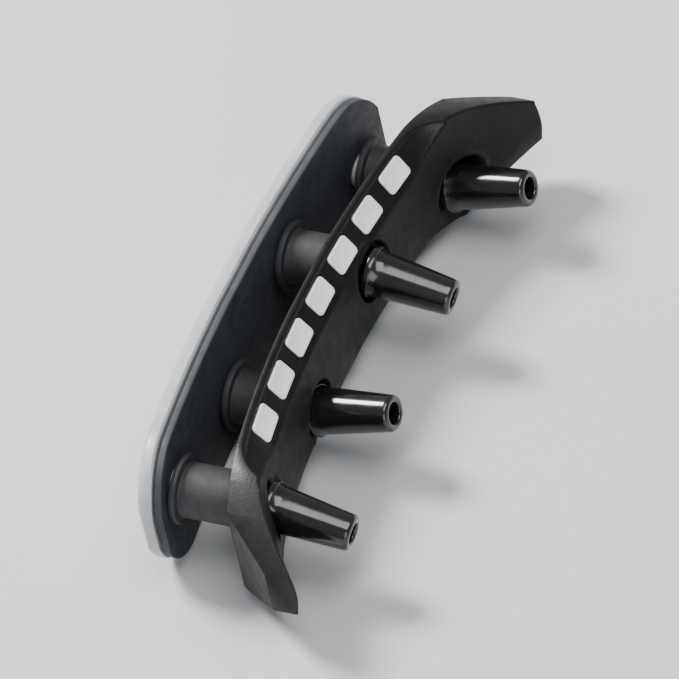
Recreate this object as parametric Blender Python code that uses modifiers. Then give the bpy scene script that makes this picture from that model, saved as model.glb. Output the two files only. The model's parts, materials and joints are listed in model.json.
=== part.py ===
"""Vibration dampener for the throat bridge of a tennis racket.

A soft saddle sits in a recess on the string side of the bridge, between the racket's two
throat arms. The four centre main strings leave the bridge through it, each in its own soft
tapered collar. A stiff carrier backs the saddle, four isolating sleeves line the drilled
holes of the bridge, and a barrel strip with a soft cushion closes the throat side.

Frame: +X along the bridge, +Y along the strings towards the bed, +Z normal to the strings.
The origin is the middle of the flat land where the carrier rests on the bridge.
Units are metres.
"""

from math import atan, atan2, cos, pi, radians, sin, sqrt

import bmesh
import bpy
from mathutils import Matrix, Vector

MM = 0.001

# ---------------------------------------------------------------- driving dimensions
STRING_PITCH = 11.85 * MM      # between neighbouring main strings
STRING_STAGGER = 1.4 * MM      # holes lie this far above and below the string plane
BRIDGE_GAP = 4.7 * MM          # thickness of bridge wall between carrier and cushion
BED_BOW_RADIUS = 95.0 * MM     # curve of the bridge on the string side
THROAT_BOW_RADIUS = 150.0 * MM  # curve of the bridge on the throat side
FLAT_HALF = 3.0 * MM           # half length of the flat land in the middle of each curve
FIT = 0.2 * MM                 # gap between pieces that touch
FINE_FIT = 0.12 * MM           # gap round the small inlaid marks
THROUGH = 5.0 * MM             # how far a cutter runs past the material that it cuts

# saddle: its section, and its outline seen along the strings
SADDLE_HALF_WIDTH = 5.7 * MM
SADDLE_SHOULDER_X = 16.0 * MM  # the outline starts to narrow here
SADDLE_END_X = 24.6 * MM
SADDLE_TIP_HALF_WIDTH = 2.0 * MM
OUTLINE_POWER = 1.8
FACE_HEIGHT = 2.45 * MM        # middle of the string face above the bridge
FACE_CROWN = 0.3 * MM
RIDGE_Z = 3.45 * MM            # ridge between the string face and each lip
RIDGE_FLARE_X = 14.0 * MM      # from here the ridges run out to meet the outline
RIDGE_FLARE = 3.4 * MM
RIDGE_STEP = 0.15 * MM
LIP_TOP_HEIGHT = 1.95 * MM
LIP_EDGE_HEIGHT = 0.3 * MM
SADDLE_EDGE_RADIUS = 0.35 * MM
TIP_THINNING = 0.35            # share of the face's height lost at the ends
END_LIFT = 4.0 * MM            # extra climb of the face up the throat arms
END_LIFT_POWER = 1.8
EDGE_LAG = 0.55                # share of that climb missing at the widest edge
UNDERSIDE_LIFT = 3.2 * MM      # extra climb of the underside, beyond the carrier
UNDERSIDE_LIFT_X = 21.4 * MM

# carrier, in a pocket behind the saddle
CARRIER_THICKNESS = 0.6 * MM
CARRIER_INSET = 1.55 * MM      # from the saddle's outline
CARRIER_END_INSET = 3.6 * MM
CORE_OUT_DEPTH = 0.3 * MM      # shallow hollows on the bridge side
CORE_OUT_NEAR_X = 9.0 * MM
CORE_OUT_FAR_X = 14.6 * MM
CORE_OUT_Z = 2.2 * MM
CORE_OUT_HALF_WIDTH = 1.4 * MM

# collars
COLLAR_TIP_Y = 8.75 * MM       # tip above the bridge, before the bow is added
COLLAR_FLOOR_Y = 1.75 * MM     # floor of the collar's seat in the saddle
COLLAR_FOOT_RADIUS = 2.0 * MM
COLLAR_TIP_RADIUS = 1.4 * MM
COLLAR_BORE_RADIUS = 0.8 * MM
COLLAR_FOOT_HEIGHT = 0.55 * MM
COLLAR_FOOT_CHAMFER = 0.15 * MM
COLLAR_NECK_STEP = 0.25 * MM   # the foot narrows by this over the neck's height
COLLAR_NECK_HEIGHT = 0.9 * MM
COLLAR_TIP_ROUNDING = 0.35 * MM
COLLAR_MOUTH_FLARE = 0.2 * MM
COLLAR_MOUTH_DEPTH = 0.4 * MM
COLLAR_SEAT_RADIUS = 2.25 * MM
COLLAR_SEAT_GAP = 0.3 * MM

# barrels, sleeves, cushion and strip
BARREL_RADIUS = 1.4 * MM
BARREL_BORE_RADIUS = 0.85 * MM
BARREL_TIP_Y = 0.6 * MM
BARREL_ROOT_DEPTH = 0.5 * MM   # how deep the barrel is rooted in the strip
SLEEVE_RADIUS = 2.1 * MM
SLEEVE_FLANGE_RADIUS = 2.7 * MM
SLEEVE_FLANGE_THICKNESS = 0.5 * MM
SLEEVE_LEAD = 0.2 * MM
CUSHION_THICKNESS = 0.6 * MM
STRIP_THICKNESS = 1.15 * MM
STRIP_HALF_WIDTH = 5.7 * MM
STRIP_SHOULDER_X = 16.5 * MM
STRIP_END_X = 21.5 * MM
STRIP_END_ROUNDING = 0.96      # 1 would run the outline to a full ellipse
STRIP_EDGE_RADIUS = 0.55 * MM
STRING_CHANNEL_RADIUS = 0.85 * MM
COUNTERSINK_RADIUS = 1.35 * MM
COUNTERSINK_DEPTH = 0.5 * MM

# inlaid marks on the front and rear lips
MARK_COUNT = 7
MARK_PITCH = 0.36 * STRING_PITCH
MARK_WIDTH = 2.8 * MM
MARK_HEIGHT = 1.8 * MM
MARK_CORNER = 0.35 * MM
MARK_SUNK = 0.16 * MM
MARK_PROUD = 0.12 * MM
MARK_Z = 4.55 * MM
MARK_CUT_HEIGHT = 1.0 * MM

ROUND_SEGMENTS = 28
HOLE_SEGMENTS = 20

STRING_X = [(k - 1.5) * STRING_PITCH for k in range(4)]
STRING_SIDE = [-1, 1, -1, 1]   # holes alternate below and above the string plane

MATERIALS = {
    "elastomer": ((0.028, 0.029, 0.031), 0.55, 0.0),
    "collar": ((0.012, 0.012, 0.013), 0.25, 0.0),
    "carrier": ((0.060, 0.062, 0.066), 0.50, 0.0),
    "sleeve": ((0.035, 0.036, 0.040), 0.60, 0.0),
    "cushion": ((0.032, 0.036, 0.043), 0.60, 0.0),
    "strip": ((0.47, 0.485, 0.49), 0.38, 0.0),
    "mark": ((0.88, 0.89, 0.89), 0.45, 0.0),
}


# ---------------------------------------------------------------- scene and materials
def clear_scene():
    for item in list(bpy.data.objects):
        bpy.data.objects.remove(item, do_unlink=True)


def new_collection(name):
    collection = bpy.data.collections.new(name)
    bpy.context.scene.collection.children.link(collection)
    return collection


def new_material(name, slot):
    colour, roughness, metallic = MATERIALS[slot]
    material = bpy.data.materials.new(name)
    material.use_nodes = True
    shader = material.node_tree.nodes["Principled BSDF"]
    shader.inputs["Base Color"].default_value = (*colour, 1.0)
    shader.inputs["Roughness"].default_value = roughness
    shader.inputs["Metallic"].default_value = metallic
    return material


def new_part(name, mesh, slot):
    part = bpy.data.objects.new(name, mesh)
    PARTS.objects.link(part)
    mesh.materials.append(new_material(name, slot))
    return part


def new_cutter(name, mesh):
    cutter = bpy.data.objects.new(name, mesh)
    CUTTERS.objects.link(cutter)
    cutter.hide_render = True
    cutter.display_type = "WIRE"
    return cutter


# ---------------------------------------------------------------- shape helpers
def mesh_from(bm, name, smooth_angle=None):
    bmesh.ops.recalc_face_normals(bm, faces=bm.faces)
    mesh = bpy.data.meshes.new(name)
    bm.to_mesh(mesh)
    bm.free()
    if smooth_angle is not None:
        mesh.shade_smooth()
        mesh.set_sharp_from_angle(angle=smooth_angle)
    return mesh


def loft(name, stations, ring):
    """A closed body through one ring of (y, z) points at each x of stations."""
    bm = bmesh.new()
    rings = [[bm.verts.new((x, y, z)) for y, z in ring(x)] for x in stations]
    count = len(rings[0])
    for near, far in zip(rings, rings[1:]):
        for i in range(count):
            j = (i + 1) % count
            bm.faces.new((near[i], near[j], far[j], far[i]))
    bm.faces.new(rings[0])
    bm.faces.new(rings[-1])
    bmesh.ops.remove_doubles(bm, verts=bm.verts, dist=1e-7)
    return mesh_from(bm, name, radians(30))


def turned(name, profile):
    """A body of revolution about local Z; the profile runs down its outer side."""
    mesh = bpy.data.meshes.new(name)
    points = [(radius, 0.0, height) for radius, height in profile]
    edges = [(i, (i + 1) % len(points)) for i in range(len(points))]
    mesh.from_pydata(points, edges, [])
    return mesh


def add_screw(part, segments):
    screw = part.modifiers.new("turn", "SCREW")
    screw.steps = segments
    screw.render_steps = segments
    screw.use_merge_vertices = True
    screw.merge_threshold = 1e-6
    screw.use_smooth_shade = True


def add_cone(bm, start, end, start_radius, end_radius, segments):
    """A cone or cylinder between two points, added to bm."""
    start = Vector(start)
    direction = Vector(end) - start
    turn = direction.to_track_quat("Z", "Y").to_matrix().to_4x4()
    middle = Matrix.Translation(start + direction / 2)
    bmesh.ops.create_cone(
        bm, cap_ends=True, segments=segments, radius1=start_radius, radius2=end_radius,
        depth=direction.length, matrix=middle @ turn)


def cylinders(name, ends, radius, segments=HOLE_SEGMENTS):
    """One mesh with a cylinder for each (start, end) pair."""
    bm = bmesh.new()
    for start, end in ends:
        add_cone(bm, start, end, radius, radius, segments)
    return mesh_from(bm, name)


def boolean(part, cutter, operation="DIFFERENCE"):
    modifier = part.modifiers.new(cutter.name, "BOOLEAN")
    modifier.operation = operation
    modifier.solver = "EXACT"
    modifier.object = cutter


def box_mesh(name, boxes):
    """One mesh with a box for each (low, high) pair of corners."""
    bm = bmesh.new()
    for low, high in boxes:
        size = [b - a for a, b in zip(low, high)]
        centre = [(a + b) / 2 for a, b in zip(low, high)]
        place = Matrix.Translation(centre) @ Matrix.Diagonal((*size, 1.0))
        bmesh.ops.create_cube(bm, size=1.0, matrix=place)
    return mesh_from(bm, name)


# ---------------------------------------------------------------- curves of the bridge
def bow(x, radius):
    """Rise of the bridge's curve at x, level over the flat land in the middle."""
    return max(0.0, x * x - FLAT_HALF * FLAT_HALF) / (2 * radius)


def bed(x):
    return bow(x, BED_BOW_RADIUS)


def throat(x):
    return bow(x, THROAT_BOW_RADIUS)


def stations_to(end_x, shoulder_x, fine, coarse=4):
    """Places along the bridge, closer together in the narrowing ends."""
    side = [FLAT_HALF + (shoulder_x - FLAT_HALF) * i / coarse for i in range(coarse + 1)]
    side += [shoulder_x + (end_x - shoulder_x) * i / fine for i in range(1, fine + 1)]
    return [-x for x in reversed(side)] + side


def end_share(x, shoulder_x, end_x):
    """0 along the straight middle, 1 at the end."""
    return min(1.0, max(0.0, (abs(x) - shoulder_x) / (end_x - shoulder_x)))


# ---------------------------------------------------------------- saddle
def saddle_half_width(x):
    share = end_share(x, SADDLE_SHOULDER_X, SADDLE_END_X)
    span = SADDLE_HALF_WIDTH - SADDLE_TIP_HALF_WIDTH
    return SADDLE_TIP_HALF_WIDTH + span * (1 - share ** OUTLINE_POWER)


def ridge_place(x):
    """Distance of the ridges from the string plane at x."""
    return RIDGE_Z + RIDGE_FLARE * end_share(x, RIDGE_FLARE_X, SADDLE_END_X)


def face_height(x, z):
    """Height of the string face and the lips above the bridge, before the ends climb."""
    reach = abs(z)
    ridge = ridge_place(x)
    ridge_height = FACE_HEIGHT - FACE_CROWN
    if reach <= ridge:
        return FACE_HEIGHT - FACE_CROWN * (reach / ridge) ** 2
    if reach <= ridge + RIDGE_STEP:
        share = (reach - ridge) / RIDGE_STEP
        return ridge_height + (LIP_TOP_HEIGHT - ridge_height) * share
    share = (reach - ridge - RIDGE_STEP) / (SADDLE_HALF_WIDTH - ridge - RIDGE_STEP)
    return LIP_TOP_HEIGHT + (LIP_EDGE_HEIGHT - LIP_TOP_HEIGHT) * share


def face_y(x, z):
    """The saddle's outer surface: bow, climb up the throat arms, and face or lip."""
    share = end_share(x, SADDLE_SHOULDER_X, SADDLE_END_X)
    climb = END_LIFT * share ** END_LIFT_POWER
    climb *= 1 - EDGE_LAG * (z / SADDLE_HALF_WIDTH) ** 2
    return bed(x) + climb + face_height(x, z) * (1 - TIP_THINNING * share * share)


def saddle_ring(x):
    width = saddle_half_width(x)
    level = width - SADDLE_EDGE_RADIUS
    upper = []
    for angle in (0, 30, 60):
        z = width - SADDLE_EDGE_RADIUS * (1 - cos(radians(angle)))
        drop = SADDLE_EDGE_RADIUS * (1 - sin(radians(angle)))
        upper.append((face_y(x, level) - drop, z))
    ridge = ridge_place(x)
    for z in (level, ridge + RIDGE_STEP, ridge, ridge / 2):
        z = min(z, level)
        upper.append((face_y(x, z), z))
    underside = bed(x) + UNDERSIDE_LIFT * end_share(x, UNDERSIDE_LIFT_X, SADDLE_END_X)
    ring = upper + [(face_y(x, 0.0), 0.0)] + [(y, -z) for y, z in reversed(upper)]
    ring += [(underside, -width), (underside, width)]
    return ring


def slab_ring(x, low, high, half_width, curve):
    """A plain rectangular section that follows one of the bridge's curves."""
    rise = curve(x)
    return [(low + rise, -half_width), (low + rise, half_width),
            (high + rise, half_width), (high + rise, -half_width)]


def carrier_half_width(x, clearance):
    return saddle_half_width(x) - CARRIER_INSET + clearance


def carrier_slab(name, low, high, clearance):
    end_x = SADDLE_END_X - CARRIER_END_INSET + clearance
    stations = stations_to(end_x, SADDLE_SHOULDER_X, 5)
    return loft(name, stations, lambda x: slab_ring(
        x, low, high, carrier_half_width(x, clearance), bed))


def collar_axis(k):
    """Foot and tip of collar k, on the axis of its bore."""
    x = STRING_X[k]
    foot = Vector((x, COLLAR_FLOOR_Y + COLLAR_SEAT_GAP + bed(x),
                   STRING_SIDE[k] * STRING_STAGGER))
    tip = Vector((x, COLLAR_TIP_Y + bed(x), 0.0))
    return foot, tip


def mark_places(side):
    """Matrix of each mark on a lip: local Y out of the lip, local Z across it."""
    lip_width = SADDLE_HALF_WIDTH - RIDGE_Z - RIDGE_STEP
    slope = atan((LIP_TOP_HEIGHT - LIP_EDGE_HEIGHT) / lip_width)
    places = []
    for i in range(MARK_COUNT):
        x = (i - (MARK_COUNT - 1) / 2) * MARK_PITCH
        place = Matrix.Translation((x, face_y(x, MARK_Z), side * MARK_Z))
        turn = Matrix.Rotation(atan(x / BED_BOW_RADIUS), 4, "Z")
        tilt = Matrix.Rotation(side * slope, 4, "X")
        places.append(place @ turn @ tilt)
    return places


def add_mark(bm, place, grow, low, high):
    """A rounded rectangular pad, or the pocket that holds it."""
    size = (MARK_WIDTH + 2 * grow, high - low, MARK_HEIGHT + 2 * grow)
    centre = Matrix.Translation((0.0, (low + high) / 2, 0.0))
    made = bmesh.ops.create_cube(bm, size=1.0, matrix=centre @ Matrix.Diagonal((*size, 1.0)))
    upright = set()
    for vert in made["verts"]:
        for edge in vert.link_edges:
            run = edge.verts[0].co - edge.verts[1].co
            if abs(run.x) < 1e-9 and abs(run.z) < 1e-9:
                upright.add(edge)
    before = set(bm.verts) - set(made["verts"])
    bmesh.ops.bevel(bm, geom=list(upright), offset=MARK_CORNER + grow, segments=3,
                    profile=0.5, affect="EDGES")
    fresh = [vert for vert in bm.verts if vert not in before]
    bmesh.ops.transform(bm, matrix=place, verts=fresh)


def make_saddle():
    stations = stations_to(SADDLE_END_X, SADDLE_SHOULDER_X, 8)
    saddle = new_part("damper_saddle", loft("damper_saddle", stations, saddle_ring),
                      "elastomer")
    pocket = carrier_slab("carrier_pocket", -THROUGH, CARRIER_THICKNESS + FIT, FIT)
    boolean(saddle, new_cutter("carrier_pocket", pocket))
    seats = []
    holes = []
    for k in range(4):
        foot, tip = collar_axis(k)
        along = (tip - foot).normalized()
        floor = foot - along * COLLAR_SEAT_GAP
        seats.append((floor, floor + along * THROUGH))
        holes.append((floor - along * THROUGH, floor + along * THROUGH))
    seat_mesh = cylinders("collar_seats", seats, COLLAR_SEAT_RADIUS, ROUND_SEGMENTS)
    boolean(saddle, new_cutter("collar_seats", seat_mesh))
    hole_mesh = cylinders("string_holes", holes, COLLAR_BORE_RADIUS + FIT)
    boolean(saddle, new_cutter("string_holes", hole_mesh))
    bm = bmesh.new()
    for side in (-1, 1):
        for place in mark_places(side):
            add_mark(bm, place, FINE_FIT, -MARK_SUNK - FINE_FIT, MARK_CUT_HEIGHT)
    boolean(saddle, new_cutter("mark_pockets", mesh_from(bm, "mark_pockets")))


def make_carrier():
    mesh = carrier_slab("saddle_carrier", 0.0, CARRIER_THICKNESS, 0.0)
    carrier = new_part("saddle_carrier", mesh, "carrier")
    ends = [((x, -THROUGH, side * STRING_STAGGER), (x, THROUGH, side * STRING_STAGGER))
            for x, side in zip(STRING_X, STRING_SIDE)]
    holes = cylinders("carrier_holes", ends, SLEEVE_RADIUS + FIT, ROUND_SEGMENTS)
    boolean(carrier, new_cutter("carrier_holes", holes))
    # the core-outs lie between the inner and the outer holes
    floor = bed(CORE_OUT_NEAR_X) + CORE_OUT_DEPTH
    boxes = []
    for left, right in ((-CORE_OUT_FAR_X, -CORE_OUT_NEAR_X), (CORE_OUT_NEAR_X, CORE_OUT_FAR_X)):
        for z in (-CORE_OUT_Z, CORE_OUT_Z):
            boxes.append(((left, -THROUGH, z - CORE_OUT_HALF_WIDTH),
                          (right, floor, z + CORE_OUT_HALF_WIDTH)))
    boolean(carrier, new_cutter("carrier_core_outs", box_mesh("carrier_core_outs", boxes)))


def make_collar(k):
    foot, tip = collar_axis(k)
    length = (tip - foot).length
    rim = COLLAR_TIP_ROUNDING
    mouth = COLLAR_BORE_RADIUS + COLLAR_MOUTH_FLARE
    outer = [(COLLAR_TIP_RADIUS - rim, length)]
    for angle in (45, 0):
        outer.append((COLLAR_TIP_RADIUS - rim + rim * cos(radians(angle)),
                      length - rim + rim * sin(radians(angle))))
    outer += [(COLLAR_FOOT_RADIUS - COLLAR_NECK_STEP, COLLAR_FOOT_HEIGHT + COLLAR_NECK_HEIGHT),
              (COLLAR_FOOT_RADIUS, COLLAR_FOOT_HEIGHT),
              (COLLAR_FOOT_RADIUS, COLLAR_FOOT_CHAMFER),
              (COLLAR_FOOT_RADIUS - COLLAR_FOOT_CHAMFER, 0.0)]
    inner = [(mouth, 0.0),
             (COLLAR_BORE_RADIUS, COLLAR_MOUTH_DEPTH),
             (COLLAR_BORE_RADIUS, length - COLLAR_MOUTH_DEPTH),
             (mouth, length)]
    name = f"string_collar_{k + 1}"
    collar = new_part(name, turned(name, outer + inner), "collar")
    add_screw(collar, ROUND_SEGMENTS)
    collar.location = foot
    lean = atan2(STRING_STAGGER, tip.y - foot.y)
    collar.rotation_euler = (-pi / 2 - STRING_SIDE[k] * lean, 0.0, 0.0)


def make_sleeve(k):
    """A top-hat bush: its flange lies against the cushion, its tube lines the bridge."""
    x = STRING_X[k]
    base = -BRIDGE_GAP + throat(abs(x) + SLEEVE_FLANGE_RADIUS) + FIT
    top = CARRIER_THICKNESS + bed(abs(x) - SLEEVE_RADIUS)
    length = top - base
    bore = BARREL_RADIUS + FIT
    profile = [(SLEEVE_RADIUS - SLEEVE_LEAD, length),
               (SLEEVE_RADIUS, length - SLEEVE_LEAD),
               (SLEEVE_RADIUS, SLEEVE_FLANGE_THICKNESS),
               (SLEEVE_FLANGE_RADIUS, SLEEVE_FLANGE_THICKNESS),
               (SLEEVE_FLANGE_RADIUS, 0.0),
               (bore, 0.0),
               (bore, length)]
    name = f"isolator_sleeve_{k + 1}"
    sleeve = new_part(name, turned(name, profile), "sleeve")
    add_screw(sleeve, ROUND_SEGMENTS)
    sleeve.location = (x, base, STRING_SIDE[k] * STRING_STAGGER)
    sleeve.rotation_euler = (-pi / 2, 0.0, 0.0)


# ---------------------------------------------------------------- throat side
def strip_half_width(x):
    share = end_share(x, STRIP_SHOULDER_X, STRIP_END_X)
    return STRIP_HALF_WIDTH * sqrt(1 - (STRIP_END_ROUNDING * share) ** 2)


def barrel_ends(low, high):
    """Both ends of each barrel's axis, each on its own side's curve."""
    ends = []
    for x, side in zip(STRING_X, STRING_SIDE):
        z = side * STRING_STAGGER
        ends.append(((x, low + throat(x), z), (x, high + bed(abs(x) - BARREL_RADIUS), z)))
    return ends


def make_cushion():
    high = -BRIDGE_GAP
    low = high - CUSHION_THICKNESS
    stations = stations_to(STRIP_END_X - FIT, STRIP_SHOULDER_X, 6)
    mesh = loft("strip_cushion", stations, lambda x: slab_ring(
        x, low, high, strip_half_width(x) - FIT, throat))
    cushion = new_part("strip_cushion", mesh, "cushion")
    holes = cylinders("cushion_holes", barrel_ends(low - THROUGH, 0.0), BARREL_RADIUS + FIT)
    boolean(cushion, new_cutter("cushion_holes", holes))


def strip_ring(x):
    width = strip_half_width(x)
    high = -BRIDGE_GAP - CUSHION_THICKNESS - FIT
    low = high - STRIP_THICKNESS
    rise = throat(x)
    radius = min(STRIP_EDGE_RADIUS, width / 2)
    ring = [(high + rise, width)]
    corner = []
    for angle in (0, 30, 60, 90):
        z = width - radius * (1 - cos(radians(angle)))
        y = low + radius * (1 - sin(radians(angle)))
        corner.append((y + rise, z))
    ring += corner + [(y, -z) for y, z in reversed(corner)] + [(high + rise, -width)]
    return ring


def make_strip():
    stations = stations_to(STRIP_END_X, STRIP_SHOULDER_X, 6)
    strip = new_part("barrel_strip", loft("barrel_strip", stations, strip_ring), "strip")
    root = -BRIDGE_GAP - CUSHION_THICKNESS - FIT - BARREL_ROOT_DEPTH
    barrels = cylinders("barrels", barrel_ends(root, BARREL_TIP_Y), BARREL_RADIUS,
                        ROUND_SEGMENTS)
    boolean(strip, new_cutter("barrels", barrels), "UNION")
    # the string crosses the throat side in a channel from one barrel to its partner
    outer_face = -BRIDGE_GAP - CUSHION_THICKNESS - FIT - STRIP_THICKNESS
    places = [Vector((x, outer_face + throat(x), side * STRING_STAGGER))
              for x, side in zip(STRING_X, STRING_SIDE)]
    pairs = [(places[0], places[1]), (places[2], places[3])]
    channels = cylinders("string_channels", pairs, STRING_CHANNEL_RADIUS)
    boolean(strip, new_cutter("string_channels", channels))
    line = barrel_ends(outer_face - THROUGH, THROUGH)
    bores = cylinders("barrel_bores", line, BARREL_BORE_RADIUS)
    boolean(strip, new_cutter("barrel_bores", bores))
    bm = bmesh.new()
    inward = Vector((0.0, COUNTERSINK_DEPTH, 0.0))
    wide = 2 * COUNTERSINK_RADIUS - BARREL_BORE_RADIUS
    for place in places:
        add_cone(bm, place - inward, place + inward, wide, BARREL_BORE_RADIUS, HOLE_SEGMENTS)
    boolean(strip, new_cutter("countersinks", mesh_from(bm, "countersinks")))


def make_marks(label, side):
    for number, place in enumerate(mark_places(side), start=1):
        name = f"{label}_mark_{number}"
        bm = bmesh.new()
        add_mark(bm, place, 0.0, -MARK_SUNK, MARK_PROUD)
        new_part(name, mesh_from(bm, name), "mark")


clear_scene()
PARTS = new_collection("vibration_dampener")
CUTTERS = new_collection("cutters")
make_saddle()
make_carrier()
for index in range(4):
    make_collar(index)
    make_sleeve(index)
make_cushion()
make_strip()
make_marks("front", 1)
make_marks("rear", -1)
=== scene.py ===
"""Looks of the vibration dampener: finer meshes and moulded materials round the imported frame."""

import json
from math import atan, cos, pi, radians, sin

import bmesh
import bpy
import numpy as np
from mathutils import Matrix, Vector


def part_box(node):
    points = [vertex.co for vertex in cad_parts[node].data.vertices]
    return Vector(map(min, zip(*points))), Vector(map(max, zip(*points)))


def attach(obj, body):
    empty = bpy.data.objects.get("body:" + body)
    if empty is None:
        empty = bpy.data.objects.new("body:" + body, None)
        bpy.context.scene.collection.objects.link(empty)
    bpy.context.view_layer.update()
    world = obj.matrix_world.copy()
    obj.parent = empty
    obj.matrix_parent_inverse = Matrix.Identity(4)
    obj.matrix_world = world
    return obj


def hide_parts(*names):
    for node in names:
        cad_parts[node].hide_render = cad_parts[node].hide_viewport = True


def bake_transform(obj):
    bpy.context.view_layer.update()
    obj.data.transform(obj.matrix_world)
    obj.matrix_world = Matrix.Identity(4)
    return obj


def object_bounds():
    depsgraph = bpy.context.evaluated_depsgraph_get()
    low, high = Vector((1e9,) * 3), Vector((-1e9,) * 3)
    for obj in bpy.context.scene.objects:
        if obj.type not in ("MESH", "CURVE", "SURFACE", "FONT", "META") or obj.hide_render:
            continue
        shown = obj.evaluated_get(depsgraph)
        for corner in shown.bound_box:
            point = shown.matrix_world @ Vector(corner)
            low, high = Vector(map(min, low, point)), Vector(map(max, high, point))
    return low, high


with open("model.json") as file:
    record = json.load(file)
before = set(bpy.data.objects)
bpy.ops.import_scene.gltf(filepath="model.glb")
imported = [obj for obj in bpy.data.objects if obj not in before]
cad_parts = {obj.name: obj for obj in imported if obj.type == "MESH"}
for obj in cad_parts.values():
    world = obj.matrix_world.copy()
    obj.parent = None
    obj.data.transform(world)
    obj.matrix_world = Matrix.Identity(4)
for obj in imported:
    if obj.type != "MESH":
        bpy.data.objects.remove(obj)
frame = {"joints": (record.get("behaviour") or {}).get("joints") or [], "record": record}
CAD_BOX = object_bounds()

MM = 0.001

# ---------------------------------------------------------------- sizes read from the frame
MOUNTS = {mount["name"]: mount["pos_m"] for mount in frame["record"]["mounts"]}
FEET = [Vector(joint["pos_m"]) for joint in frame["joints"] if joint["type"] == "hinge"]

SADDLE_END_X, _, SADDLE_HALF_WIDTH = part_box("damper_saddle")[1]
STRIP_END_X, _, STRIP_HALF_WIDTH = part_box("barrel_strip")[1]
CARRIER_END_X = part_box("saddle_carrier")[1].x
CUSHION_END_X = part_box("strip_cushion")[1].x
CUSHION_SEAT_Y = MOUNTS["cushion_land"][1]
STRIP_BACK_Y = MOUNTS["strip_land"][1]
STRING_PITCH = FEET[1].x - FEET[0].x
STAGGER = abs(FEET[0].z)

# ---------------------------------------------------------------- the part's own proportions
BED_BOW_RADIUS = 95.0 * MM
THROAT_BOW_RADIUS = 150.0 * MM
FLAT_HALF = 3.0 * MM
FIT = 0.2 * MM
THROUGH = 5.0 * MM             # how far a cutter runs past the material that it cuts

SADDLE_SHOULDER_X = 16.0 * MM
SADDLE_TIP_HALF_WIDTH = 2.0 * MM
OUTLINE_POWER = 1.8
FACE_HEIGHT = 2.45 * MM
FACE_CROWN = 0.3 * MM
RIDGE_Z = 3.45 * MM
RIDGE_FLARE_X = 14.0 * MM
RIDGE_FLARE = 3.4 * MM
RIDGE_STEP = 0.15 * MM
LIP_TOP_HEIGHT = 1.95 * MM
LIP_EDGE_HEIGHT = 0.3 * MM
LEAST_LIP_WIDTH = 0.1 * MM     # keeps the lip's slope finite where the ridge reaches the edge
EDGE_RADIUS = 0.35 * MM
TIP_THINNING = 0.35
END_LIFT = 4.0 * MM
END_LIFT_POWER = 1.8
EDGE_LAG = 0.55
UNDERSIDE_LIFT = 3.2 * MM
UNDERSIDE_LIFT_X = 21.4 * MM

CARRIER_THICKNESS = 0.6 * MM
CARRIER_INSET = 1.55 * MM
CORE_OUT_DEPTH = 0.3 * MM
CORE_OUT_NEAR_X = 9.0 * MM
CORE_OUT_FAR_X = 14.6 * MM
CORE_OUT_Z = 2.2 * MM
CORE_OUT_HALF_WIDTH = 1.4 * MM
COLLAR_SEAT_RADIUS = 2.25 * MM
COLLAR_SEAT_GAP = 0.3 * MM
COLLAR_TIP_Y = 8.72 * MM
COLLAR_FOOT_RADIUS = 2.0 * MM
COLLAR_TIP_RADIUS = 1.4 * MM
COLLAR_BORE_RADIUS = 0.8 * MM
COLLAR_FOOT_HEIGHT = 0.55 * MM
COLLAR_FOOT_CHAMFER = 0.15 * MM
COLLAR_NECK_STEP = 0.25 * MM
COLLAR_NECK_HEIGHT = 0.9 * MM
COLLAR_TIP_ROUNDING = 0.35 * MM
COLLAR_MOUTH_FLARE = 0.2 * MM
COLLAR_MOUTH_DEPTH = 0.4 * MM
COLLAR_FOOT_SWEEP = 2.2        # power of the curve from the neck out to the foot
SLEEVE_RADIUS = 2.1 * MM
SLEEVE_FLANGE_RADIUS = 2.7 * MM
SLEEVE_FLANGE_THICKNESS = 0.5 * MM
BARREL_RADIUS = 1.4 * MM
BARREL_BORE_RADIUS = 0.85 * MM
BARREL_TIP_Y = 0.6 * MM
BARREL_ROOT_DEPTH = 0.4 * MM
BARREL_LEAD = 0.22 * MM
CUSHION_THICKNESS = 0.6 * MM
STRIP_THICKNESS = 1.15 * MM
STRIP_SHOULDER_X = 16.5 * MM
STRIP_END_ROUNDING = 0.96
STRIP_EDGE_RADIUS = 0.55 * MM
STRING_CHANNEL_RADIUS = 0.85 * MM
STRING_PAIRS = ((0, 1), (2, 3))     # a string turns back from one barrel to its neighbour
COUNTERSINK_RADIUS = 1.35 * MM
COUNTERSINK_DEPTH = 0.5 * MM
COUNTERSINK_CURVE = 1.4
COUNTERSINK_REACH = 1.3        # how far the countersink runs on into its bore

# soft arrises and small mouldings that the plain solids leave out
ARRIS = 0.08 * MM
ARRIS_BEVEL = 0.3              # where an arris's middle point lies, as a share of its size
POCKET_BEVEL = 0.2
SOFT_ARRIS = 0.15 * MM
SLEEVE_ARRIS = 0.12 * MM
SEAT_BEAD = 0.10 * MM          # raised bead round each collar's seat
SEAT_BEAD_WIDTH = 0.16 * MM
SEAT_BEAD_OFFSET = 0.30 * MM
SEAT_RIM_LEAD = 0.25           # share of the rim's width that lies inside the seat's radius
RIDGE_BLEND = 0.03 * MM
CHANNEL_FULLNESS = 2.6         # 2 gives a parabola, more a fuller string channel
CHANNEL_SHOULDER = 0.3         # softness of a channel's rim, as a share of its depth

MARK_COUNT = 7
MARK_PITCH = 0.36 * STRING_PITCH
MARK_WIDTH = 2.8 * MM
MARK_HEIGHT = 1.8 * MM
MARK_CORNER = 0.35 * MM
MARK_SUNK = 0.16 * MM
MARK_PROUD = 0.12 * MM
MARK_Z = 4.55 * MM
MARK_GAP = 0.12 * MM
MARK_RIM = 0.26 * MM
MARK_DISH = 0.06 * MM
MARK_CROWN = 0.09 * MM
MARK_CORNER_STEPS = 8

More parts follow.
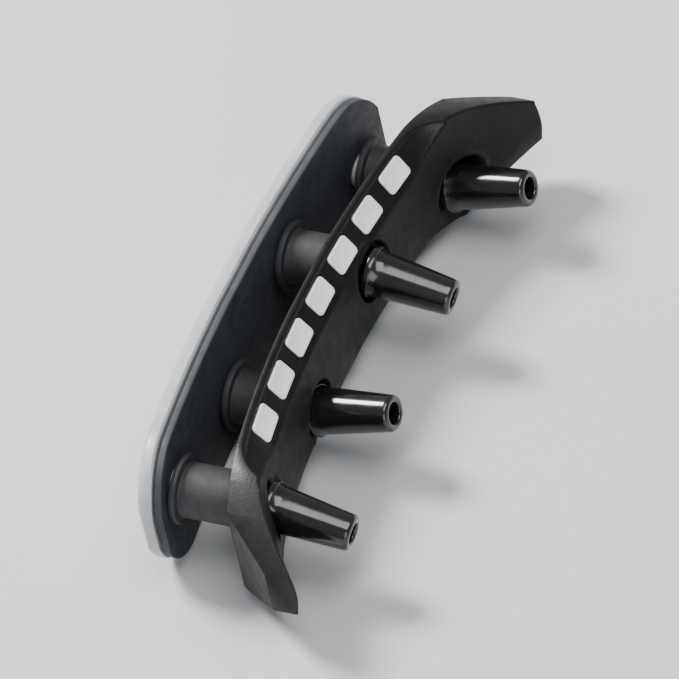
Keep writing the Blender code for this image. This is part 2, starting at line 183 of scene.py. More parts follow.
# ---------------------------------------------------------------- mesh density
SADDLE_STATIONS = 461
SADDLE_ROWS = 52
STRIP_STATIONS = 401
STRIP_ROWS = 44
EDGE_SHARE = 0.45              # a round edge takes up at most this share of the half-width
EDGE_INSETS = 1 - np.cos(np.radians([0, 12, 25, 38, 52, 68, 90]))   # across a round edge
END_INSETS = 1 - np.cos(np.radians([0, 14, 28, 42, 56, 72]))        # along a round end


# ---------------------------------------------------------------- curves shared with the frame
def bow(x, radius):
    return np.maximum(0.0, x * x - FLAT_HALF ** 2) / (2 * radius)


def bed(x):
    return bow(x, BED_BOW_RADIUS)


def throat(x):
    return bow(x, THROAT_BOW_RADIUS)


def end_share(x, shoulder_x, end_x):
    return np.clip((np.abs(x) - shoulder_x) / (end_x - shoulder_x), 0.0, 1.0)


def smooth(t):
    t = np.clip(t, 0.0, 1.0)
    return t * t * (3 - 2 * t)


def saddle_half_width(x):
    share = end_share(x, SADDLE_SHOULDER_X, SADDLE_END_X)
    span = SADDLE_HALF_WIDTH - SADDLE_TIP_HALF_WIDTH
    return SADDLE_TIP_HALF_WIDTH + span * (1 - share ** OUTLINE_POWER)


def strip_half_width(x):
    share = end_share(x, STRIP_SHOULDER_X, STRIP_END_X)
    return STRIP_HALF_WIDTH * np.sqrt(1 - (STRIP_END_ROUNDING * share) ** 2)


def collar_axis(k):
    """Foot and tip of collar k on its bore's axis."""
    foot = FEET[k]
    return foot, Vector((foot.x, COLLAR_TIP_Y + float(bed(foot.x)), 0.0))


# ---------------------------------------------------------------- mesh helpers
def add_object(name, mesh):
    made = bpy.data.objects.new(name, mesh)
    bpy.context.scene.collection.objects.link(made)
    return made


def face_out(mesh):
    """Turns all faces outwards on a closed mesh."""
    bm = bmesh.new()
    bm.from_mesh(mesh)
    bmesh.ops.remove_doubles(bm, verts=bm.verts, dist=1e-8)
    bmesh.ops.recalc_face_normals(bm, faces=bm.faces)
    if bm.calc_volume(signed=True) < 0:
        bmesh.ops.reverse_faces(bm, faces=bm.faces)
    bm.to_mesh(mesh)
    bm.free()


def closed_body(name, points, faces, sharp):
    """An object from points and faces, smooth up to the sharp angle in degrees."""
    mesh = bpy.data.meshes.new(name)
    mesh.from_pydata(points.reshape(-1, 3).tolist(), [], faces)
    face_out(mesh)
    mesh.shade_smooth()
    mesh.set_sharp_from_angle(angle=radians(sharp))
    return add_object(name, mesh)


def from_bmesh(name, bm):
    mesh = bpy.data.meshes.new(name)
    bm.to_mesh(mesh)
    bm.free()
    return add_object(name, mesh)


def loft(name, rings, sharp=50):
    """A closed body through rings of points, given as a (rings, points, 3) array."""
    rings = np.asarray(rings, float)
    count, size = rings.shape[:2]
    near = np.arange(count - 1)[:, None] * size
    i = np.arange(size)[None, :]
    j = (i + 1) % size
    quads = np.stack([near + i, near + j, near + size + j, near + size + i], axis=-1)
    faces = quads.reshape(-1, 4).tolist()
    faces.append(list(range(size)))
    faces.append(list(range((count - 1) * size, count * size)))
    return closed_body(name, rings, faces, sharp)


def turned(name, profile, segments=72, sharp=40):
    """A closed ring turned about local Z from a closed (radius, height) profile."""
    angles = np.arange(segments) * 2 * pi / segments
    profile = np.asarray(profile, float)
    size = len(profile)
    points = np.empty((segments, size, 3))
    points[..., 0] = np.cos(angles)[:, None] * profile[None, :, 0]
    points[..., 1] = np.sin(angles)[:, None] * profile[None, :, 0]
    points[..., 2] = profile[None, :, 1]
    s = np.arange(segments)[:, None]
    t = (s + 1) % segments
    i = np.arange(size)[None, :]
    j = (i + 1) % size
    quads = np.stack([s * size + i, s * size + j, t * size + j, t * size + i], axis=-1)
    return closed_body(name, points, quads.reshape(-1, 4).tolist(), sharp)


def place(piece, matrix):
    """Moves a piece's mesh into the frame, leaving its object at the origin."""
    piece.data.transform(matrix)
    return piece


def along(start, end):
    """Matrix that stands local Z on the line from start to end."""
    direction = Vector(end) - Vector(start)
    return Matrix.Translation(start) @ direction.to_track_quat("Z", "X").to_matrix().to_4x4()


def cylinder(name, start, end, radius, segments=48):
    bm = bmesh.new()
    length = (Vector(end) - Vector(start)).length
    middle = Matrix.Translation((0.0, 0.0, length / 2))
    bmesh.ops.create_cone(bm, cap_ends=True, segments=segments, radius1=radius,
                          radius2=radius, depth=length, matrix=along(start, end) @ middle)
    return from_bmesh(name, bm)


def rod(name, start, end, profile, segments=64):
    """A solid round bar from start to end, through (radius, height) pairs."""
    angles = np.arange(segments) * 2 * pi / segments
    rings = [np.stack([radius * np.cos(angles), radius * np.sin(angles),
                       np.full(segments, height)], axis=1) for radius, height in profile]
    return place(loft(name, rings), along(start, end))


def apply_modifiers(piece):
    graph = bpy.context.evaluated_depsgraph_get()
    graph.update()
    mesh = bpy.data.meshes.new_from_object(piece.evaluated_get(graph))
    piece.modifiers.clear()
    piece.data = mesh
    return piece


def boolean(piece, cutters, operation="DIFFERENCE"):
    """Cuts or joins the cutters, then removes them."""
    for cutter in cutters:
        modifier = piece.modifiers.new(cutter.name, "BOOLEAN")
        modifier.operation = operation
        modifier.solver = "EXACT"
        modifier.object = cutter
    apply_modifiers(piece)
    for cutter in cutters:
        bpy.data.objects.remove(cutter)
    return piece


def smooth_by_angle(piece, sharp=35):
    piece.data.shade_smooth()
    piece.data.set_sharp_from_angle(angle=radians(sharp))


def finish_piece(piece, body, slot, material, *nodes):
    """Gives a piece its material and body, and hides the CAD nodes it stands for; slot is not
    used.
    """
    piece.data.materials.clear()
    piece.data.materials.append(material)
    if body is not None:
        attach(piece, body)
    if nodes:
        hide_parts(*nodes)
    return piece


# ---------------------------------------------------------------- saddle
def ridge_place(x):
    return RIDGE_Z + RIDGE_FLARE * end_share(x, RIDGE_FLARE_X, SADDLE_END_X)


def face_height(x, z):
    """Height of the string face, the ridge's step and the lip, before the ends climb."""
    reach = np.abs(z)
    ridge = ridge_place(x)
    face = FACE_HEIGHT - FACE_CROWN * (reach / ridge) ** 2
    lip_width = SADDLE_HALF_WIDTH - ridge - RIDGE_STEP
    share = (reach - ridge - RIDGE_STEP) / np.maximum(lip_width, LEAST_LIP_WIDTH)
    lip = LIP_TOP_HEIGHT + (LIP_EDGE_HEIGHT - LIP_TOP_HEIGHT) * share
    step = smooth((reach - ridge + RIDGE_BLEND) / (RIDGE_STEP + 2 * RIDGE_BLEND))
    return face + (np.minimum(lip, face) - face) * step


def face_y(x, z):
    share = end_share(x, SADDLE_SHOULDER_X, SADDLE_END_X)
    climb = END_LIFT * share ** END_LIFT_POWER
    climb = climb * (1 - EDGE_LAG * (z / SADDLE_HALF_WIDTH) ** 2)
    return bed(x) + climb + face_height(x, z) * (1 - TIP_THINNING * share * share)


def mark_matrices(side):
    """Places of one lip's pads, each turned with the bow and tilted with the lip."""
    lip_width = SADDLE_HALF_WIDTH - RIDGE_Z - RIDGE_STEP
    slope = atan((LIP_TOP_HEIGHT - LIP_EDGE_HEIGHT) / lip_width)
    found = []
    for i in range(MARK_COUNT):
        x = (i - (MARK_COUNT - 1) / 2) * MARK_PITCH
        spot = (x, float(face_y(x, MARK_Z)), side * MARK_Z)
        turn = Matrix.Rotation(atan(x / BED_BOW_RADIUS), 4, "Z")
        tilt = Matrix.Rotation(side * slope, 4, "X")
        found.append(Matrix.Translation(spot) @ turn @ tilt)
    return found


def stations_to(end_x, count, edge_radius):
    """Even stations from end to end, with closer ones across the two round ends."""
    ends = end_x - edge_radius * END_INSETS
    return np.unique(np.concatenate([np.linspace(-end_x, end_x, count), ends, -ends]))


def edge_drop(inset, radius):
    """How far a round edge lies below the flat face, at a distance in from the outline."""
    inset = np.clip(inset, 0.0, radius)
    return radius - np.sqrt(radius ** 2 - (radius - inset) ** 2)


def saddle_surface(x, z, width):
    """The saddle's outer surface with its round edges, ridge line and collar seats."""
    inset = np.minimum(width - np.abs(z), SADDLE_END_X - np.abs(x))
    level = np.sign(z) * np.minimum(np.abs(z), width - EDGE_RADIUS)
    y = face_y(x, level) - edge_drop(inset, EDGE_RADIUS)
    for k in range(len(FEET)):
        foot, tip = collar_axis(k)
        side = 1 if foot.z > 0 else -1
        lean = STAGGER / (tip.y - foot.y)
        centre_z = foot.z - side * lean * (y - foot.y)
        reach = np.hypot(x - foot.x, z - centre_z)
        floor = foot.y - COLLAR_SEAT_GAP + side * (z - foot.z) * lean
        floor = np.minimum(floor, y)
        past = reach - COLLAR_SEAT_RADIUS
        bead = SEAT_BEAD * np.exp(-((past - SEAT_BEAD_OFFSET) / SEAT_BEAD_WIDTH) ** 2)
        rim = smooth(past / SEAT_BEAD_WIDTH + SEAT_RIM_LEAD)
        y = floor + (y + bead - floor) * rim
    return y


def saddle_rings():
    """Sections of the saddle: its string side, then its underside with the carrier's pocket."""
    insets = EDGE_RADIUS * EDGE_INSETS
    inner = np.linspace(0.0, 1.0, SADDLE_ROWS)
    soft, bevel = ARRIS, ARRIS_BEVEL * ARRIS
    pocket_end = CARRIER_END_X + FIT
    rings = []
    for x in stations_to(SADDLE_END_X, SADDLE_STATIONS, EDGE_RADIUS):
        width = float(saddle_half_width(x))
        level = width - insets[-1]
        half = np.concatenate([width - insets, level * (1 - inner[1:])])
        z = np.concatenate([half, -half[-2::-1]])
        front = np.stack([np.full_like(z, x), saddle_surface(np.full_like(z, x), z, width), z],
                         axis=1)
        rise = float(bed(x) + UNDERSIDE_LIFT * end_share(x, UNDERSIDE_LIFT_X, SADDLE_END_X))
        pocket = width - CARRIER_INSET + FIT
        depth = CARRIER_THICKNESS + FIT if abs(x) < pocket_end else 0.0
        side = [(soft, width), (bevel, width - bevel), (0.0, width - soft),
                (0.0, pocket + soft), (bevel, pocket + POCKET_BEVEL * soft), (soft, pocket),
                (depth, pocket)]
        wall = [(y, -z) for y, z in side] + [(depth, 0.0)] + side[::-1]
        if depth == 0.0:
            outer = width - 1.5 * soft    # past the pocket's end only the outer arris is kept
            wall = [(y if abs(z) > outer else 0.0, z) for y, z in wall]
        back = np.array([(x, y + rise, z) for y, z in wall])
        rings.append(np.concatenate([front, back]))
    return rings


def make_saddle(material):
    saddle = loft("saddle_moulding", saddle_rings(), sharp=60)
    holes = []
    for k in range(len(FEET)):
        foot, tip = collar_axis(k)
        direction = (tip - foot).normalized()
        holes.append(cylinder(f"hole_{k}", foot - direction * THROUGH,
                              foot + direction * THROUGH, COLLAR_BORE_RADIUS + FIT))
    boolean(saddle, holes)
    pockets = [mark_body(f"pocket_{side}_{i}", matrix, MARK_GAP / 2, -MARK_SUNK - MARK_GAP, MM)
               for side in (-1, 1) for i, matrix in enumerate(mark_matrices(side))]
    boolean(saddle, pockets)
    smooth_by_angle(saddle, 40)
    return finish_piece(saddle, "saddle", "elastomer", material, "damper_saddle")


def mark_body(name, matrix, grow, low, high, crown=0.0):
    """A pad with round corners, its top edge rounded when crown is given."""
    corner = MARK_CORNER + grow
    half_u = MARK_WIDTH / 2 + grow
    half_v = MARK_HEIGHT / 2 + grow
    outline = []
    for cu, cv, first in ((1, 1, 0), (-1, 1, 90), (-1, -1, 180), (1, -1, 270)):
        for step in range(MARK_CORNER_STEPS + 1):
            angle = radians(first + step * 90 / MARK_CORNER_STEPS)
            outline.append((cu * (half_u - corner) + corner * cos(angle),
                            cv * (half_v - corner) + corner * sin(angle)))
    levels = [(low, 0.0)]
    if crown:
        levels += [(high - crown * (1 - sin(radians(a))), crown * (1 - cos(radians(a))))
                   for a in (0, 22, 45, 67, 90)]
        # a flat rim, then a shallow dish inside it
        levels += [(high, MARK_RIM), (high - 0.3 * MARK_DISH, MARK_RIM + 0.5 * MARK_DISH),
                   (high - MARK_DISH, MARK_RIM + 2 * MARK_DISH)]
    else:
        levels.append((high, 0.0))
    rings = []
    for y, inset in levels:
        ring = []
        for u, v in outline:
            shrink_u = 1 - inset / half_u
            shrink_v = 1 - inset / half_v
            ring.append(matrix @ Vector((u * shrink_u, y, v * shrink_v)))
        rings.append(ring)
    return loft(name, rings)


# ---------------------------------------------------------------- collars and sleeves
def arc(centre_radius, centre_height, radius, first, last, steps):
    """Points of a round corner on a turned profile, angles in degrees from +radius."""
    return [(centre_radius + radius * cos(radians(first + (last - first) * i / steps)),
             centre_height + radius * sin(radians(first + (last - first) * i / steps)))
            for i in range(steps + 1)]


def make_collar(k, material):
    foot, tip = collar_axis(k)
    length = (tip - foot).length
    rim = COLLAR_TIP_ROUNDING
    waist = COLLAR_FOOT_HEIGHT
    flare = COLLAR_NECK_HEIGHT
    neck = COLLAR_FOOT_RADIUS - COLLAR_NECK_STEP
    round_foot = COLLAR_FOOT_RADIUS - ARRIS
    profile = arc(COLLAR_TIP_RADIUS - rim, length - rim, rim, 90, 0, 7)
    taper = [(COLLAR_TIP_RADIUS + (neck - COLLAR_TIP_RADIUS) * t,
              length - rim + (waist + flare - length + rim) * t) for t in np.linspace(0, 1, 16)]
    profile += taper[1:]
    for t in np.linspace(0, 1, 8)[1:]:
        swell = (round_foot - neck) * t ** COLLAR_FOOT_SWEEP
        profile.append((neck + swell, waist + flare * (1 - t)))
    profile += arc(round_foot, waist - ARRIS, ARRIS, 90, 0, 3)[1:]
    profile += arc(COLLAR_FOOT_RADIUS - COLLAR_FOOT_CHAMFER, COLLAR_FOOT_CHAMFER,
                   COLLAR_FOOT_CHAMFER, 0, -90, 4)
    flared = COLLAR_BORE_RADIUS + COLLAR_MOUTH_FLARE
    profile += [(flared, 0.0), (COLLAR_BORE_RADIUS, COLLAR_MOUTH_DEPTH)]
    profile += [(COLLAR_BORE_RADIUS, length - COLLAR_MOUTH_DEPTH)]
    profile += arc(flared, length - COLLAR_MOUTH_FLARE, COLLAR_MOUTH_FLARE, 180, 90, 5)
    collar = turned(f"collar_{k + 1}", profile)
    place(collar, along(foot, tip))
    finish_piece(collar, None, "collar", material, f"string_collar_{k + 1}")
    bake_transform(collar)
    return collar


def make_sleeve(k, material):
    name = f"isolator_sleeve_{k + 1}"
    low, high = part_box(name)
    length = high.y - low.y
    middle = (low + high) / 2
    bore = BARREL_RADIUS + FIT
    soft = SLEEVE_ARRIS
    flange = SLEEVE_FLANGE_THICKNESS
    profile = arc(SLEEVE_RADIUS - soft, length - soft, soft, 90, 0, 3)
    profile += arc(SLEEVE_RADIUS + soft, flange + soft, soft, 180, 270, 4)
    profile += arc(SLEEVE_FLANGE_RADIUS - soft, flange - soft, soft, 90, 0, 3)
    profile += arc(SLEEVE_FLANGE_RADIUS - soft, soft, soft, 0, -90, 3)
    profile += [(bore + soft, 0.0), (bore, soft), (bore, length - soft), (bore + soft, length)]
    sleeve = turned(f"sleeve_{k + 1}", profile)
    place(sleeve, along((middle.x, low.y, middle.z), (middle.x, high.y, middle.z)))
    return finish_piece(sleeve, "saddle", "sleeve", material, name)


# ---------------------------------------------------------------- carrier
def slab(name, stations, half_width, low, high, curve, edge):
    """A slab that follows one of the bridge's curves, all its long edges rounded."""
    angles = [0, 22, 45, 67, 90]
    rings = []
    for x in stations:
        width = float(half_width(x))
        rise = float(curve(x))
        radius = min(edge, width * EDGE_SHARE)
        section = []
        for centre_z, centre_y, first in ((width - radius, high - radius, 0),
                                          (-width + radius, high - radius, 90),
                                          (-width + radius, low + radius, 180),
                                          (width - radius, low + radius, 270)):
            for angle in angles:
                turn = radians(first + angle)
                section.append((x, centre_y + radius * sin(turn) + rise,
                                centre_z + radius * cos(turn)))
        rings.append(section)
    return loft(name, rings, sharp=50)


def box_piece(name, low, high):
    bm = bmesh.new()
    size = [b - a for a, b in zip(low, high)]
    middle = [(a + b) / 2 for a, b in zip(low, high)]
    bmesh.ops.create_cube(bm, size=1.0,
                          matrix=Matrix.Translation(middle) @ Matrix.Diagonal((*size, 1.0)))
    return from_bmesh(name, bm)


def make_carrier(material):
    carrier = slab("carrier_plate", np.linspace(-CARRIER_END_X, CARRIER_END_X, 121),
                   lambda x: saddle_half_width(x) - CARRIER_INSET,
                   0.0, CARRIER_THICKNESS, bed, ARRIS)
    cuts = [cylinder(f"carrier_hole_{k}", (foot.x, -THROUGH, foot.z), (foot.x, THROUGH, foot.z),
                     SLEEVE_RADIUS + FIT) for k, foot in enumerate(FEET)]
    floor = float(bed(CORE_OUT_NEAR_X)) + CORE_OUT_DEPTH
    for left, right in ((-CORE_OUT_FAR_X, -CORE_OUT_NEAR_X), (CORE_OUT_NEAR_X, CORE_OUT_FAR_X)):
        for z in (-CORE_OUT_Z, CORE_OUT_Z):
            cuts.append(box_piece("core_out", (left, -THROUGH, z - CORE_OUT_HALF_WIDTH),
                                  (right, floor, z + CORE_OUT_HALF_WIDTH)))
    boolean(carrier, cuts)
    smooth_by_angle(carrier)
    return finish_piece(carrier, "saddle", "carrier", material, "saddle_carrier")


# ---------------------------------------------------------------- throat side
def barrel_line(k, low, high):
    """Ends of barrel k's axis, low on the throat's curve and high on the bed's."""
    foot = FEET[k]
    return ((foot.x, low + float(throat(foot.x)), foot.z),
            (foot.x, high + float(bed(abs(foot.x) - BARREL_RADIUS)), foot.z))


def make_cushion(material):
    high = CUSHION_SEAT_Y
    cushion = slab("cushion_pad", np.linspace(-CUSHION_END_X, CUSHION_END_X, 161),
                   lambda x: strip_half_width(x) - FIT,
                   high - CUSHION_THICKNESS, high, throat, SOFT_ARRIS)
    holes = [cylinder(f"cushion_hole_{k}", *barrel_line(k, high - THROUGH, 0.0),
                      BARREL_RADIUS + FIT) for k in range(len(FEET))]
    boolean(cushion, holes)
    smooth_by_angle(cushion)
    return finish_piece(cushion, "strip", "cushion", material, "strip_cushion")


def strip_surface(x, z, width):
    """How far the strip's throat face lies in from its crest: edge, channels, countersinks."""
    inset = np.minimum(width - np.abs(z), STRIP_END_X - np.abs(x))
    sunk = edge_drop(inset, STRIP_EDGE_RADIUS)
    for first, second in STRING_PAIRS:
        start, end = FEET[first], FEET[second]
        run_x, run_z = end.x - start.x, end.z - start.z
        span = float(np.hypot(run_x, run_z))
        t = ((x - start.x) * run_x + (z - start.z) * run_z) / span ** 2
        t = np.clip(t, 0.0, 1.0)
        reach = np.hypot(x - start.x - t * run_x, z - start.z - t * run_z)
        radius = STRING_CHANNEL_RADIUS
        level = 1 - (reach / radius) ** CHANNEL_FULLNESS
        channel = 0.5 * radius * (level + np.hypot(level, CHANNEL_SHOULDER))
        sunk = np.maximum(sunk, channel)
    for foot in FEET:
        reach = np.hypot(x - foot.x, z - foot.z)
        share = (COUNTERSINK_RADIUS - reach) / (COUNTERSINK_RADIUS - BARREL_BORE_RADIUS)
        share = np.clip(share, 0.0, COUNTERSINK_REACH)
        sunk = np.maximum(sunk, COUNTERSINK_DEPTH * share ** COUNTERSINK_CURVE)
    return sunk


def strip_rings():
    """Sections of the strip: its throat face, then the plain face against the cushion."""
    inner = np.linspace(0.0, 1.0, STRIP_ROWS)
    top = STRIP_BACK_Y + STRIP_THICKNESS
    soft = SOFT_ARRIS
    rings = []
    for x in stations_to(STRIP_END_X, STRIP_STATIONS, STRIP_EDGE_RADIUS):
        width = float(strip_half_width(x))
        insets = min(STRIP_EDGE_RADIUS, EDGE_SHARE * width) * EDGE_INSETS
        half = np.concatenate([width - insets, (width - insets[-1]) * (1 - inner[1:])])
        z = np.concatenate([half, -half[-2::-1]])
        rise = float(throat(x))
        y = STRIP_BACK_Y + rise + strip_surface(np.full_like(z, x), z, width)
        outer = np.stack([np.full_like(z, x), y, z], axis=1)
        back = np.array([(x, top + rise - soft, -width), (x, top + rise, -width + soft),
                         (x, top + rise, 0.0),
                         (x, top + rise, width - soft), (x, top + rise - soft, width)])
        rings.append(np.concatenate([outer, back]))
    return rings


def make_strip(material):
    strip = loft("strip_moulding", strip_rings(), sharp=60)
    root = STRIP_BACK_Y + STRIP_THICKNESS - BARREL_ROOT_DEPTH
    lead = BARREL_LEAD
    barrels = []
    for k in range(len(FEET)):
        start, end = barrel_line(k, root, BARREL_TIP_Y)
        length = end[1] - start[1]
        tip = arc(BARREL_RADIUS - lead, length - lead, lead, 0, 90, 5)
        barrels.append(rod(f"barrel_{k}", start, end, [(BARREL_RADIUS, 0.0)] + tip))
    boolean(strip, barrels, "UNION")
    bores = [cylinder(f"bore_{k}", *barrel_line(k, STRIP_BACK_Y - THROUGH, THROUGH),
                      BARREL_BORE_RADIUS) for k in range(len(FEET))]
    boolean(strip, bores)
    smooth_by_angle(strip, 40)
    return finish_piece(strip, "strip", "strip", material, "barrel_strip")


def make_marks(label, side, material):
    for number, matrix in enumerate(mark_matrices(side), start=1):
        pad = mark_body(f"{label}_pad_{number}", matrix, 0.0, -MARK_SUNK, MARK_PROUD, MARK_CROWN)
        finish_piece(pad, "saddle", "mark", material, f"{label}_mark_{number}")


# ---------------------------------------------------------------- materials
DUST_COLOUR = (0.34, 0.33, 0.31)
LIP_COLOUR = (0.0035, 0.0036, 0.0040)


class Surface:
    """A Principled material whose colour, roughness and relief come from noise in millimetres."""

    def __init__(self, name, **constants):
        self.material = bpy.data.materials.new(name)
        self.material.use_nodes = True
        self.tree = self.material.node_tree
        self.shader = self.tree.nodes["Principled BSDF"]
        for key, value in constants.items():
            self.shader.inputs[key.replace("_", " ")].default_value = value
        coordinates = self.tree.nodes.new("ShaderNodeTexCoord")
        self.mapping = self.tree.nodes.new("ShaderNodeMapping")
        self.mapping.inputs["Scale"].default_value = (1000, 1000, 1000)
        self.link(coordinates.outputs["Object"], self.mapping.inputs["Vector"])
        self.bump = None

    def link(self, source, target):
        self.tree.links.new(source, target)

    def noise(self, scale, detail=3.0, roughness=0.55, distortion=0.0, stretch=None):
        node = self.tree.nodes.new("ShaderNodeTexNoise")
        node.inputs["Scale"].default_value = scale
        node.inputs["Detail"].default_value = detail
        node.inputs["Roughness"].default_value = roughness
        node.inputs["Distortion"].default_value = distortion
        source = self.mapping.outputs["Vector"]
        if stretch:
            squeeze = self.tree.nodes.new("ShaderNodeMapping")
            squeeze.inputs["Scale"].default_value = stretch
            self.link(source, squeeze.inputs["Vector"])
            source = squeeze.outputs["Vector"]
        self.link(source, node.inputs["Vector"])
        return node.outputs["Fac"]

    def cells(self, scale):
        node = self.tree.nodes.new("ShaderNodeTexVoronoi")
        node.inputs["Scale"].default_value = scale
        self.link(self.mapping.outputs["Vector"], node.inputs["Vector"])
        return node.outputs["Distance"]

    def remap(self, source, low, high, to_low, to_high):
        node = self.tree.nodes.new("ShaderNodeMapRange")
        for key, value in (("From Min", low), ("From Max", high),
                           ("To Min", to_low), ("To Max", to_high)):
            node.inputs[key].default_value = value
        self.link(source, node.inputs["Value"])
        return node.outputs["Result"]

    def maths(self, operation, first, second):
        node = self.tree.nodes.new("ShaderNodeMath")
        node.operation = operation
        for socket, value in zip(node.inputs, (first, second)):
            if isinstance(value, (int, float)):
                socket.default_value = value
            else:
                self.link(value, socket)
        return node.outputs["Value"]

    def mix(self, factor, first, second):
        node = self.tree.nodes.new("ShaderNodeMix")
        node.data_type = "RGBA"
        self.link(factor, node.inputs["Factor"])
        for socket, value in ((node.inputs["A"], first), (node.inputs["B"], second)):
            if isinstance(value, tuple):
                socket.default_value = (*value, 1.0)
            else:
                self.link(value, socket)
        return node.outputs["Result"]

    def colour(self, source):
        self.link(source, self.shader.inputs["Base Color"])

    def roughness(self, source):
        self.link(source, self.shader.inputs["Roughness"])

    def relief(self, height, distance, strength=1.0):
        node = self.tree.nodes.new("ShaderNodeBump")
        node.inputs["Distance"].default_value = distance
        node.inputs["Strength"].default_value = strength
        self.link(height, node.inputs["Height"])
        if self.bump:
            self.link(self.bump, node.inputs["Normal"])
        self.bump = node.outputs["Normal"]
        self.link(self.bump, self.shader.inputs["Normal"])


def moulded(name, dark, light, rough, grain, depth, flow=(0.2, 1.0, 1.0), dust=0.25,
            wear=0.3, **constants):
    """A moulded surface: clouded colour, flow lines, grain, settled dust and fine scuffs."""
    surface = Surface(name, **constants)
    clouds = surface.remap(surface.noise(0.35, 4.0), 0.3, 0.7, 0.25, 1.0)
    lines = surface.noise(2.4, 3.0, stretch=flow)
    body = surface.mix(surface.maths("MULTIPLY", clouds, surface.remap(lines, 0.3, 0.7, 0.6, 1.0)),
                       dark, light)
    # dust lies in specks, and only in patches
    specks = surface.remap(surface.cells(3.2), 0.14, 0.05, 0.0, dust)
    patches = surface.remap(surface.noise(0.5, 2.0), 0.48, 0.62, 0.0, 1.0)
    dusty = surface.maths("MULTIPLY", specks, patches)
    # scuffs run along the bridge, and show paler and duller than the skin
    scuffs = surface.noise(6.0, 3.0, distortion=0.5, stretch=(0.07, 1.0, 1.0))
    scuffed = surface.remap(scuffs, 0.62, 0.72, 0.0, wear)
    paler = tuple(0.72 * channel + 0.09 for channel in light)
    surface.colour(surface.mix(scuffed, surface.mix(dusty, body, DUST_COLOUR), paler))
    gloss = surface.remap(surface.noise(0.9, 3.0), 0.3, 0.7, rough[0], rough[1])
    surface.roughness(surface.maths("ADD", gloss, surface.maths("MULTIPLY", scuffed, 0.25)))
    # relief: the mould's grain, a slow waviness, then the scuffs
    surface.relief(surface.noise(grain, 2.0, 0.5), depth)
    surface.relief(surface.noise(0.22, 1.0), 0.05 * MM, 0.5)
    surface.relief(scuffs, depth, 0.35)
    return surface


def polish_lips(surface):
    """Darker, smoother lips outside the ridges; the string face keeps its grain."""
    tree = surface.tree
    split = tree.nodes.new("ShaderNodeSeparateXYZ")
    surface.link(surface.mapping.outputs["Vector"], split.inputs["Vector"])
    along_bridge = surface.maths("ABSOLUTE", split.outputs["X"], 0.0)
    past = surface.maths("SUBTRACT", along_bridge, RIDGE_FLARE_X / MM)
    slope = RIDGE_FLARE / (SADDLE_END_X - RIDGE_FLARE_X)
    flare = surface.maths("MULTIPLY", surface.maths("MAXIMUM", past, 0.0), slope)
    ridge = surface.maths("ADD", flare, RIDGE_Z / MM)
    reach = surface.maths("SUBTRACT", surface.maths("ABSOLUTE", split.outputs["Z"], 0.0), ridge)
    lip = surface.remap(reach, -0.02, 0.10, 0.0, 1.0)
    shader = surface.shader
    tone = shader.inputs["Base Color"].links[0].from_socket
    surface.colour(surface.mix(surface.maths("MULTIPLY", lip, 0.55), tone, LIP_COLOUR))
    gloss = shader.inputs["Roughness"].links[0].from_socket
    surface.roughness(surface.maths("SUBTRACT", gloss, surface.maths("MULTIPLY", lip, 0.10)))


def add_fibres(surface, strength):
    """Short glass-fibre streaks just under the skin of a filled nylon."""
    streaks = surface.noise(9.0, 2.0, distortion=0.8, stretch=(0.12, 1.0, 0.5))
    surface.relief(streaks, strength)


def make_materials():
    elastomer = moulded("saddle_elastomer", (0.0036, 0.0038, 0.0043), (0.0102, 0.0106, 0.0116),
                        (0.42, 0.58), 4.2, 0.014 * MM, dust=0.22, wear=0.10,
                        Specular_IOR_Level=0.22)
    polish_lips(elastomer)
    collar = moulded("collar_gloss_elastomer", (0.0030, 0.0030, 0.0034),
                     (0.0085, 0.0085, 0.0095), (0.13, 0.22), 2.2, 0.003 * MM,
                     flow=(1.0, 0.2, 1.0), dust=0.10, wear=0.05,
                     Coat_Weight=0.35, Coat_Roughness=0.10)
    carrier = moulded("carrier_glass_nylon", (0.026, 0.027, 0.030), (0.062, 0.064, 0.069),
                      (0.36, 0.54), 7.0, 0.006 * MM, wear=0.35)
    add_fibres(carrier, 0.010 * MM)
    sleeve = moulded("sleeve_soft_elastomer", (0.011, 0.0115, 0.013), (0.026, 0.027, 0.030),
                     (0.55, 0.72), 5.0, 0.010 * MM, flow=(1.0, 0.2, 1.0))
    cushion = moulded("cushion_slate_elastomer", (0.014, 0.0165, 0.0215), (0.034, 0.0385, 0.047),
                      (0.58, 0.76), 4.0, 0.018 * MM)
    strip = moulded("strip_pale_nylon", (0.30, 0.315, 0.325), (0.45, 0.465, 0.475),
                    (0.28, 0.42), 3.5, 0.005 * MM, dust=0.35, wear=0.22,
                    Subsurface_Weight=0.12, Subsurface_Scale=0.0006)
    mark = moulded("mark_white_inlay", (0.76, 0.77, 0.77), (0.93, 0.935, 0.93),
                   (0.32, 0.46), 4.0, 0.004 * MM, dust=0.18, wear=0.12)
    return {"elastomer": elastomer.material, "collar": collar.material,
            "carrier": carrier.material, "sleeve": sleeve.material,
            "cushion": cushion.material, "strip": strip.material, "mark": mark.material}


# ---------------------------------------------------------------- floor, light and camera
FLOOR_GAP = 0.02 * MM
FLOOR_HALF = 4.0
CAMERA_BACK = Vector((0.590, 0.366, 0.720)).normalized()
CAMERA_UP = Vector((-0.717, -0.174, 0.676))
CAMERA_DISTANCE = 0.95
CAMERA_LENS = 680


def make_floor(height):
    bm = bmesh.new()
    bmesh.ops.create_grid(bm, x_segments=2, y_segments=2, size=FLOOR_HALF)
    floor = from_bmesh("floor", bm)
    floor.location.z = height
    surface = Surface("floor_paper", Roughness=0.85, Specular_IOR_Level=0.2)
    tone = surface.noise(0.02, 2.0)
    surface.colour(surface.mix(tone, (0.50, 0.505, 0.51), (0.55, 0.555, 0.56)))
    floor.data.materials.append(surface.material)


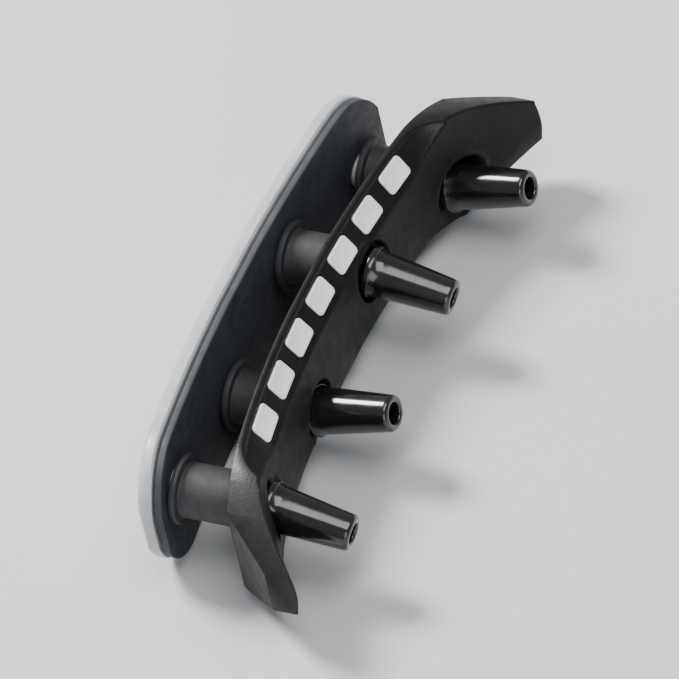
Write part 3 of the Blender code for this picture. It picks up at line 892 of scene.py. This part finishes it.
def add_light(name, position, target, size, power, colour=(1.0, 1.0, 1.0)):
    light = bpy.data.lights.new(name, "AREA")
    light.shape = "RECTANGLE"
    light.size, light.size_y = size
    light.energy = power
    light.color = colour
    lamp = bpy.data.objects.new(name, light)
    bpy.context.scene.collection.objects.link(lamp)
    lamp.location = position
    lamp.rotation_euler = (Vector(target) - Vector(position)).to_track_quat("-Z", "Y").to_euler()
    lamp.visible_camera = False


def make_lights(centre):
    world = bpy.data.worlds.new("studio")
    bpy.context.scene.world = world
    world.use_nodes = True
    backdrop = world.node_tree.nodes["Background"]
    backdrop.inputs["Color"].default_value = (0.92, 0.95, 1.0, 1.0)
    backdrop.inputs["Strength"].default_value = 0.37
    add_light("key", centre + Vector((-0.10, -0.36, 0.42)), centre, (0.16, 0.16), 7.4,
              (1.0, 0.97, 0.93))
    add_light("top", centre + Vector((0.05, 0.18, 0.60)), centre, (0.50, 0.30), 3.0)
    add_light("fill", centre + Vector((0.55, 0.30, 0.25)), centre, (0.40, 0.40), 1.6,
              (0.92, 0.96, 1.0))


def make_camera(centre):
    """From the front and the right, rolled so that the strings run across the picture."""
    right = CAMERA_UP.cross(CAMERA_BACK).normalized()
    up = CAMERA_BACK.cross(right).normalized()
    data = bpy.data.cameras.new("camera")
    data.sensor_width = 36
    data.lens = CAMERA_LENS
    data.clip_start = 0.05
    data.clip_end = 10
    camera = bpy.data.objects.new("camera", data)
    bpy.context.scene.collection.objects.link(camera)
    turn = Matrix((right, up, CAMERA_BACK)).transposed().to_4x4()
    camera.matrix_world = Matrix.Translation(centre + CAMERA_BACK * CAMERA_DISTANCE) @ turn
    bpy.context.scene.camera = camera


# ---------------------------------------------------------------- the object
materials = make_materials()
centre = (CAD_BOX[0] + CAD_BOX[1]) / 2
make_camera(centre)
make_saddle(materials["elastomer"])
make_carrier(materials["carrier"])
for index in range(len(FEET)):
    make_collar(index, materials["collar"])
    make_sleeve(index, materials["sleeve"])
make_cushion(materials["cushion"])
make_strip(materials["strip"])
make_marks("front", 1, materials["mark"])
make_marks("rear", -1, materials["mark"])
make_floor(CAD_BOX[0].z - FLOOR_GAP)
make_lights(centre)
